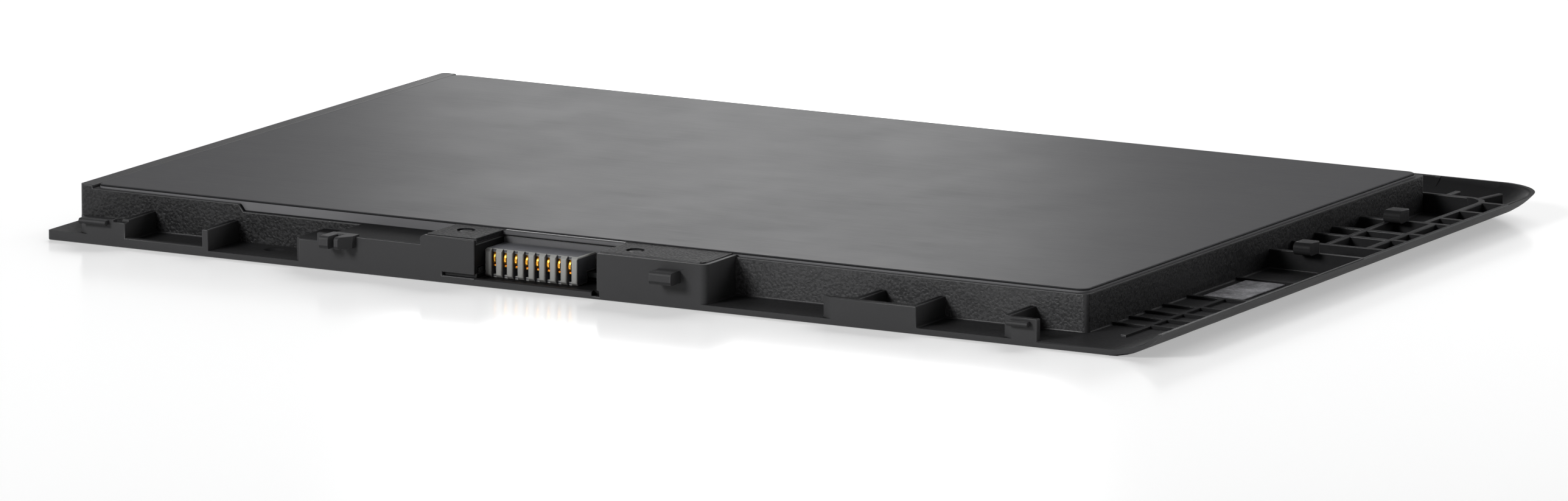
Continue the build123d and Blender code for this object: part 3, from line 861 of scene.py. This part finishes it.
@dataclass
class TrayMoulding:
    """The moulded tray with its flanges, ribs, tabs and outer skin.

    Attributes:
        wall_front: Y of the front wall of the cell box, mm.
        wall_right: X of the right wall, mm.
        wall_back: Y of the back wall, mm.
        block_front: Y of the front of the electronics block, mm.
        bay: X of the two ends of the connector bay, mm: left of it the front wall is coloured
            darker.
        bay_floor: Height of the shelf behind the connector, mm.
        floor_top: Height of the flange floors, mm.
        rim: Height below which a flat top is a ledge, mm.
        reach: How close to a wall a face counts as part of it, mm.
        corner_reach: How close to the upright corner a face counts as part of it, mm.
        floor_rise: How far above the flange floors a face still counts as floor, mm.
        floor_slack: How far below the flange floors a rib's foot may lie, mm.
    """

    wall_front: float = -59.7
    wall_right: float = 84.4
    wall_back: float = 57.3
    block_front: float = -69.3
    bay: tuple[float, float] = (-22.3, 0.5)
    bay_floor: float = 4.5
    floor_top: float = 1.0
    rim: float = 7.1
    reach: float = 0.45
    corner_reach: float = 2.0
    floor_rise: float = 0.7
    floor_slack: float = 0.1

    def build(self, frame: Frame) -> list[bpy.types.Object]:
        """Builds the tray and picks out its regions.


        Returns:
            The tray piece.
        """
        # Regions coloured darker as painted shade: side walls, bay, flange floors, flat tops and
        # skin.
        regions: list[tuple[Finish, FaceTest]] = [
            (BAY_WALL, self.on_bay_wall),
            (TRAY_WALL_DARKER, self.on_darker_wall),
            (TRAY_WALL, self.on_front_wall),
            (TRAY_SIDE_SHADED, self.on_side_wall),
            (BAY_SHADE, self.in_bay),
            (TRAY_HULL, self.in_hull),
            (TRAY_FLOOR_SHADED, self.in_flange),
            (TRAY_LEDGE_SHADED, self.on_ledge),
            (TRAY_SKIN_SHADED, self.on_skin),
        ]
        finishes = (TRAY_FACE, TRAY_EDGE, *(finish for finish, _ in regions))
        tray = SoftenedPart(
            "base_tray",
            "tray_moulding",
            "tray_plastic",
            finishes,
            corner_mm=0.25,
            cuts=(
                *(plane_across(0, x) for x in self.bay),
                plane_across(2, self.bay_floor),
            ),
            cut_test=self.on_front_wall,
        ).build(frame)
        pick_faces(tray, 1, self.on_corner)
        for slot, (_, test) in enumerate(regions, start=2):
            pick_faces(tray, slot, test)
        return [tray]

    def on_corner(self, centre: Vector, normal: Vector) -> bool:
        """Tells whether a face is on the upright corner of the front and right walls."""
        apart = max(abs(centre.x - self.wall_right), abs(centre.y - self.wall_front))
        return apart < self.corner_reach and normal.x > DIAGONAL and normal.y < -DIAGONAL

    def on_bay_wall(self, centre: Vector, normal: Vector) -> bool:
        """Tells whether a face is the wall behind the connector, above its shelf."""
        inside = self.bay[0] < centre.x < self.bay[1] and centre.z > self.bay_floor
        return inside and self.on_front_wall(centre, normal)

    def on_darker_wall(self, centre: Vector, normal: Vector) -> bool:
        """Tells whether a face is on the darker left end of the front wall."""
        return centre.x < self.bay[0] and self.on_front_wall(centre, normal)

    def in_bay(self, centre: Vector, normal: Vector) -> bool:
        """Tells whether a face is on the floor or an end of the connector bay."""
        across = self.bay[0] - self.reach < centre.x < self.bay[1] + self.reach
        return across and self.block_front + self.reach < centre.y < self.wall_front

    def on_front_wall(self, centre: Vector, normal: Vector) -> bool:
        """Tells whether a face is an upright face of the front wall."""
        return abs(centre.y - self.wall_front) < self.reach and normal.y < -NEARLY

    def on_side_wall(self, centre: Vector, normal: Vector) -> bool:
        """Tells whether a face is an upright face of the right or back wall.

        Args:
            centre: The face's centre, mm.
            normal: The face's normal.

        Returns:
            True for a face of either wall.
        """
        right = abs(centre.x - self.wall_right) < self.reach and normal.x > HALFWAY
        back = abs(centre.y - self.wall_back) < self.reach and normal.y > HALFWAY
        return right or back

    def beyond_walls(self, centre: Vector) -> bool:
        """Tells whether a point lies outside the right or the back wall."""
        return max(centre.x - self.wall_right, centre.y - self.wall_back) > self.reach

    def in_hull(self, centre: Vector, normal: Vector) -> bool:
        """Tells whether a face is on the inside of the turned-up hull."""
        return self.beyond_walls(centre) and SLIGHT < normal.z < LEVEL

    def in_flange(self, centre: Vector, normal: Vector) -> bool:
        """Tells whether a face is a flange floor or a rib of the right or back flange.

        Args:
            centre: The face's centre, mm.
            normal: The face's normal.

        Returns:
            True for a floor of any flange, and for a rib of these two.
        """
        if normal.z < -SLIGHT:
            return False
        floor = normal.z > MOSTLY and centre.z < self.floor_top + self.floor_rise
        high = centre.z > self.floor_top - self.floor_slack
        return floor or (high and self.beyond_walls(centre))

    def on_ledge(self, centre: Vector, normal: Vector) -> bool:
        """Tells whether a face is a flat top below the rim, other than that of a latch bar."""
        on_bar = centre.y < self.block_front and centre.z > self.floor_top
        return normal.z > MOSTLY and centre.z < self.rim and not on_bar

    def on_skin(self, centre: Vector, normal: Vector) -> bool:
        """Tells whether a face is on the underside or on the hull's outside."""
        return normal.z < -SLIGHT


@dataclass
class LidSheet:
    """The folded sheet that closes the cell box.

    Attributes:
        fold: Least and greatest upward slope of the faces of the fold that are painted dark as
            shade.
        edges_mm: Width of the broken edges.
    """

    fold: tuple[float, float] = (0.1, 0.62)
    edges_mm: tuple[float, ...] = (0.1,)

    def build(self, frame: Frame) -> list[bpy.types.Object]:
        """Builds the lid and picks out its fold and its sides.


        Returns:
            The lid piece.
        """
        # The fold is coloured dark as painted shade, and the folded-down side pale as painted
        # light.
        finishes = (LID_SHEET, LID_SHEET, LID_FOLD_SHADE, LID_SIDE_LIT)
        lid = SoftenedPart(
            "cover_plate", "lid_sheet", "lid_sheet", finishes, self.edges_mm
        ).build(frame)
        pick_faces(lid, 2, self.on_fold)
        pick_faces(lid, 3, self.on_side)
        return [lid]

    def on_fold(self, centre: Vector, normal: Vector) -> bool:
        """Tells whether a face is in the steep part of the fold."""
        return self.fold[0] < normal.z < self.fold[1]

    def on_side(self, centre: Vector, normal: Vector) -> bool:
        """Tells whether a face is on the folded-down side."""
        return abs(normal.z) <= self.fold[0]


@dataclass
class ConnectorBay:
    """The cap over the electronics block and the blade connector under it.

    Attributes:
        nose_y: Y of the blades' noses, mm.
        strip: X of the two ends of the cap's narrow strip over the bay, mm.
        strip_y: Y of the front of that strip, mm.
        reach: How far from such a front a face still belongs to it, mm.
        blade_edges_mm: Widths of the broken edges of the blades.
        contact_edges_mm: Width of the broken edges of the contacts.
        contact_shortest_mm: Edges of the contacts shorter than this stay sharp.
    """

    nose_y: float = -66.1
    strip: tuple[float, float] = (-22.0, 0.2)
    strip_y: float = -59.8
    reach: float = 0.4
    blade_edges_mm: tuple[float, ...] = (0.3, 0.12)
    contact_edges_mm: tuple[float, ...] = (0.05,)
    contact_shortest_mm: float = 0.2

    def build(self, frame: Frame) -> list[bpy.types.Object]:
        """Builds the cap, the connector's housing and its contacts.


        Returns:
            The three pieces.
        """
        cap = SoftenedPart(
            "bay_cover",
            "bay_cap",
            "cap_plastic",
            (CAP_GRAIN, TRAY_EDGE, BAY_WALL),
            cuts=tuple(plane_across(0, x) for x in self.strip),
            cut_test=self.on_top,
        ).build(frame)
        pick_faces(cap, 2, self.on_strip)
        housing = SoftenedPart(
            "connector_housing",
            "blade_housing",
            "connector_plastic",
            (CONNECTOR_BODY, CONNECTOR_NOSE),
            self.blade_edges_mm,
        ).build(frame)
        pick_faces(housing, 1, self.on_nose)
        contacts = SoftenedPart(
            "connector_contacts",
            "gilt_contacts",
            "contact_gilt",
            (CONTACT_GOLD, CONTACT_GOLD),
            self.contact_edges_mm,
            shortest_mm=self.contact_shortest_mm,
        ).build(frame)
        return [cap, housing, contacts]

    def on_top(self, centre: Vector, normal: Vector) -> bool:
        """Tells whether a face looks upwards."""
        return normal.z > FLAT

    def on_strip(self, centre: Vector, normal: Vector) -> bool:
        """Tells whether a face is on the top or the front of the strip over the bay.

        Args:
            centre: The face's centre, mm.
            normal: The face's normal.

        Returns:
            True for a face of the strip that shows.
        """
        within = self.strip[0] < centre.x < self.strip[1]
        front = normal.y < -HALFWAY and centre.y > self.strip_y - self.reach
        return within and (self.on_top(centre, normal) or front)

    def on_nose(self, centre: Vector, normal: Vector) -> bool:
        """Tells whether a face is at the front of a blade."""
        return normal.y < -LEANING and centre.y < self.nose_y + self.reach


@dataclass
class FlangePad:
    """The thin felt pad on the floor of the right flange.

    Attributes:
        fibre_mm: Size of the finest lumps that the mesh shows.
        nap_mm: Size of the lumps of the nap.
        nap_depth_mm: How far the nap sinks.
        edges_mm: Width of the broken edges under the nap.
    """

    fibre_mm: float = 0.11
    nap_mm: float = 0.7
    nap_depth_mm: float = 0.09
    edges_mm: tuple[float, ...] = (0.1,)

    def build(self, frame: Frame) -> list[bpy.types.Object]:
        """Builds the pad with a rounded edge and an uneven nap.

        Returns:
            The pad.
        """
        pad = SoftenedPart(
            "side_pad", "felt_pad", "pad_foam", (PAD_FELT, PAD_FELT), self.edges_mm
        ).build(frame)
        self.raise_nap(pad)
        return [pad]

    def raise_nap(self, pad: bpy.types.Object) -> None:
        """Divides the pad finely and sinks its upper face by an uneven amount, as felt lies.

        Args:
            pad: The pad with broken edges.
        """
        alone(pad)
        fine = pad.modifiers.new("felt_mesh", "REMESH")
        fine.mode = "VOXEL"
        fine.voxel_size = mm(self.fibre_mm)
        bpy.ops.object.modifier_apply(modifier=fine.name)
        heights = [v.co.z for v in pad.data.vertices]
        middle = (min(heights) + max(heights)) / 2.0
        upper = pad.vertex_groups.new(name="upper_face")
        upper.add([i for i, z in enumerate(heights) if z > middle], 1.0, "REPLACE")
        lumps = bpy.data.textures.new("felt_lumps", "CLOUDS")
        lumps.noise_scale = mm(self.nap_mm)
        nap = pad.modifiers.new("nap", "DISPLACE")
        nap.texture = lumps
        nap.texture_coords = "LOCAL"
        nap.direction = "Z"
        nap.mid_level = 1.0
        nap.strength = mm(self.nap_depth_mm)
        nap.vertex_group = upper.name
        bpy.ops.object.modifier_apply(modifier=nap.name)
        bpy.ops.object.shade_smooth()
        dress(pad, (PAD_FELT,))


@dataclass
class CellStack:
    """The pouch cells and the strips of foam that hold them under the lid.

    Attributes:
        cells: How many pouches there are.
        pouch_edges_mm: Widths of the rounded edges of a pouch.
        foam_edges_mm: Width of the rounded edges of a foam strip.
    """

    cells: int = 4
    pouch_edges_mm: tuple[float, ...] = (1.0, 0.3)
    foam_edges_mm: tuple[float, ...] = (0.1,)

    def build(self, frame: Frame) -> list[bpy.types.Object]:
        """Builds the pouches and the foam strips.

        Returns:
            The pouches, then the foam.
        """
        foil = (CELL_FOIL, CELL_FOIL)
        pieces = [
            SoftenedPart(
                f"cell_{i}", f"pouch_cell_{i}", "cell_foil", foil, self.pouch_edges_mm
            ).build(frame)
            for i in range(1, self.cells + 1)
        ]
        foam = SoftenedPart(
            "lid_foams", "lid_foam_strips", "pad_foam", (FOAM, FOAM), self.foam_edges_mm
        ).build(frame)
        return [*pieces, foam]


@dataclass
class InnerParts:
    """What lies inside the closed pack: it keeps its CAD shapes and gets real finishes.

    Attributes:
        finishes: Each finish with the CAD nodes that have it.
    """

    finishes: tuple[tuple[Finish, tuple[str, ...]], ...] = (
        (ALUMINIUM, ("cell_tabs_positive", "series_links")),
        (NICKEL, ("cell_tabs_negative", "lead_negative", "lead_positive", "sense_leads")),
        (CHIP, ("gauge_chip", "protector_chip", "power_transistors")),
        (CERAMIC, ("ceramic_capacitors", "sense_resistor", "safety_fuse")),
        (BOARD, ("circuit_board",)),
        (PAPER, ("tab_insulator",)),
        (TAPE, ("cell_tapes",)),
    )

    def build(self, frame: Frame) -> list[bpy.types.Object]:
        """Dresses every inner node.


        Returns:
            The dressed CAD nodes.
        """
        pieces = []
        for finish, nodes in self.finishes:
            for node in nodes:
                piece = frame["nodes"][node]
                dress(piece, (finish,))
                pieces.append(piece)
        return pieces


def background_rays(tree: bpy.types.NodeTree) -> bpy.types.NodeSocket:
    """Adds the test for the rays that show the background.

    Args:
        tree: The node tree of the floor or of the surroundings.

    Returns:
        A socket that is 1 for camera, glossy and transmission rays, and otherwise 0.
    """
    path = add_node(tree, "ShaderNodeLightPath").outputs
    seen = path["Is Camera Ray"]
    for kind in ("Is Glossy Ray", "Is Transmission Ray"):
        seen = add_node(
            tree, "ShaderNodeMath", {"operation": "MAXIMUM"}, {0: seen, 1: path[kind]}
        ).outputs[0]
    return seen


@dataclass(frozen=True)
class SoftBox:
    """One soft lamp of the studio.

    Attributes:
        name: The lamp's name.
        place: Where it stands, m.
        aim: The point it faces, m.
        size: Its width and height, m.
        power: Its power, W.
        spread: Angle of its beam, degrees: less than 180 where a grid narrows it.
        mirrored: Whether glossy surfaces show it.
    """

    name: str
    place: tuple[float, float, float]
    aim: tuple[float, float, float]
    size: tuple[float, float]
    power: float
    spread: float = 180.0
    mirrored: bool = True

    def build(self) -> None:
        """Adds the lamp, turned to its aim and hidden from the camera."""
        lamp = bpy.data.lights.new(self.name, "AREA")
        lamp.shape = "RECTANGLE"
        lamp.size, lamp.size_y = self.size
        lamp.energy = self.power
        lamp.spread = math.radians(self.spread)
        holder = bpy.data.objects.new(self.name, lamp)
        holder.location = self.place
        turn = (Vector(self.aim) - Vector(self.place)).to_track_quat("-Z", "Y")
        holder.rotation_euler = turn.to_euler()
        holder.visible_camera = False
        holder.visible_glossy = self.mirrored
        bpy.context.scene.collection.objects.link(holder)


@dataclass
class Studio:
    """Floor, lamps, surroundings and camera.

    Attributes:
        camera_place: Where the camera stands, m.
        camera_turn: Its bearing from the front edge, degrees.
        camera_height: Its angle above the floor, degrees.
        lens: Focal length, mm.
        sensor: Width of the camera's sensor, mm.
        clip: Nearest and farthest distance that the camera shows, m.
        floor_side: Side of the floor, m.
        floor_colour: Colour of the floor, sRGB hex.
        floor_gap_mm: How far the floor lies below the pack, so that the two do not coincide.
        ambient: Strength of the light from all round.
        horizon: Strength of the pale backdrop near the horizon.
        zenith: Strength of the backdrop overhead.
        falloff: Heights between which the backdrop turns from the one to the other.
        floor_glow: Share of the floor's white that it gives by itself.
        floor_roughness: Roughness of the floor's gloss.
    """

    camera_place: tuple[float, float, float] = (1.2189, -2.1737, 0.4782)
    camera_turn: float = 29.3645
    camera_height: float = 10.945
    lens: float = 355.88
    sensor: float = 36.0
    clip: tuple[float, float] = (0.1, 50.0)
    floor_side: float = 12.0
    floor_colour: str = "#eeeeee"
    floor_gap_mm: float = 0.05
    ambient: float = 0.07
    horizon: float = 1.0
    zenith: float = 0.12
    falloff: tuple[float, float] = (0.05, 0.3)
    floor_glow: float = 0.38
    floor_roughness: float = 0.15

    def lamps(self) -> list[SoftBox]:
        """Gives the lamps: a large bank and a strip behind, a front key and a weak right fill."""
        return [
            SoftBox(
                "back_bank",
                (-0.05, 1.3, 0.7),
                (0.0, 0.0, 0.0),
                (1.6, 1.2),
                28.0,
                mirrored=False,
            ),
            SoftBox("back_strip", (-0.231, 0.381, 0.11), (-0.02, 0.0, 0.0), (0.125, 0.2), 0.2),
            SoftBox("front_key", (-0.5, -1.15, 0.65), (0.03, -0.06, 0.0), (0.5, 0.4), 1.0, 50.0),
            SoftBox("right_fill", (1.2, 0.5, 0.4), (0.0, 0.0, 0.0), (0.6, 0.4), 1.6),
        ]

    def build(self) -> None:
        """Builds everything round the object."""
        self.build_floor()
        self.build_world()
        for lamp in self.lamps():
            lamp.build()
        self.build_camera()
        bpy.context.scene.view_settings.view_transform = "Standard"

    def build_floor(self) -> None:
        """Adds the pale floor, which keeps the shadow and a faint reflection."""
        bpy.ops.object.select_all(action="DESELECT")
        under = (0.0, 0.0, -mm(self.floor_gap_mm))
        bpy.ops.mesh.primitive_plane_add(size=self.floor_side, location=under)
        floor = bpy.context.active_object
        floor.name = "floor"
        made = bpy.data.materials.new("white_laminate_floor")
        made.use_nodes = True
        tree = made.node_tree
        tree.nodes.clear()
        shown = background_rays(tree)
        glow = add_node(
            tree, "ShaderNodeMath", {"operation": "MULTIPLY", 1: self.floor_glow}, {0: shown}
        ).outputs[0]
        shader = add_node(
            tree,
            "ShaderNodeBsdfPrincipled",
            {
                "Base Color": linear(self.floor_colour),
                "Roughness": self.floor_roughness,
                "Emission Color": WHITE,
            },
            {"Emission Strength": glow},
        )
        add_node(tree, "ShaderNodeOutputMaterial", None, {"Surface": shader.outputs[0]})
        floor.data.materials.append(made)

    def build_world(self) -> None:
        """Adds the surroundings: even light, and a backdrop that is white near the horizon."""
        world = bpy.data.worlds.new("studio")
        bpy.context.scene.world = world
        world.use_nodes = True
        tree = world.node_tree
        tree.nodes.clear()
        shown = background_rays(tree)
        direction = add_node(tree, "ShaderNodeTexCoord").outputs["Generated"]
        height = add_node(tree, "ShaderNodeSeparateXYZ", None, {0: direction}).outputs["Z"]
        falloff = map_range(tree, height, self.falloff, (self.horizon, self.zenith), smooth=True)
        strength = add_node(
            tree,
            "ShaderNodeMix",
            {"data_type": "FLOAT", 2: self.ambient},
            {0: shown, 3: falloff},
        ).outputs[0]
        sky = add_node(tree, "ShaderNodeBackground", {"Color": WHITE}, {"Strength": strength})
        add_node(tree, "ShaderNodeOutputWorld", None, {"Surface": sky.outputs[0]})

    def build_camera(self) -> None:
        """Adds the camera at the photograph's place and angle."""
        lens = bpy.data.cameras.new("view")
        lens.sensor_fit = "HORIZONTAL"
        lens.sensor_width = self.sensor
        lens.lens = self.lens
        lens.clip_start, lens.clip_end = self.clip
        camera = bpy.data.objects.new("view", lens)
        camera.location = self.camera_place
        camera.rotation_euler = Euler(
            (math.radians(90.0 - self.camera_height), 0.0, math.radians(self.camera_turn))
        )
        bpy.context.scene.collection.objects.link(camera)
        bpy.context.scene.camera = camera


def main() -> None:
    """Loads the frame, builds each sub-assembly in order and reports its pieces."""
    logging.basicConfig(level=logging.INFO, format="%(name)s: %(message)s")
    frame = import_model()
    assemblies = [
        TrayMoulding(),
        LidSheet(),
        ConnectorBay(),
        FlangePad(),
        CellStack(),
        InnerParts(),
    ]
    for assembly in assemblies:
        for piece in assembly.build(frame):
            LOG.info("%s: %d faces", piece.name, len(piece.data.polygons))
    Studio().build()


if __name__ == "__main__":
    main()
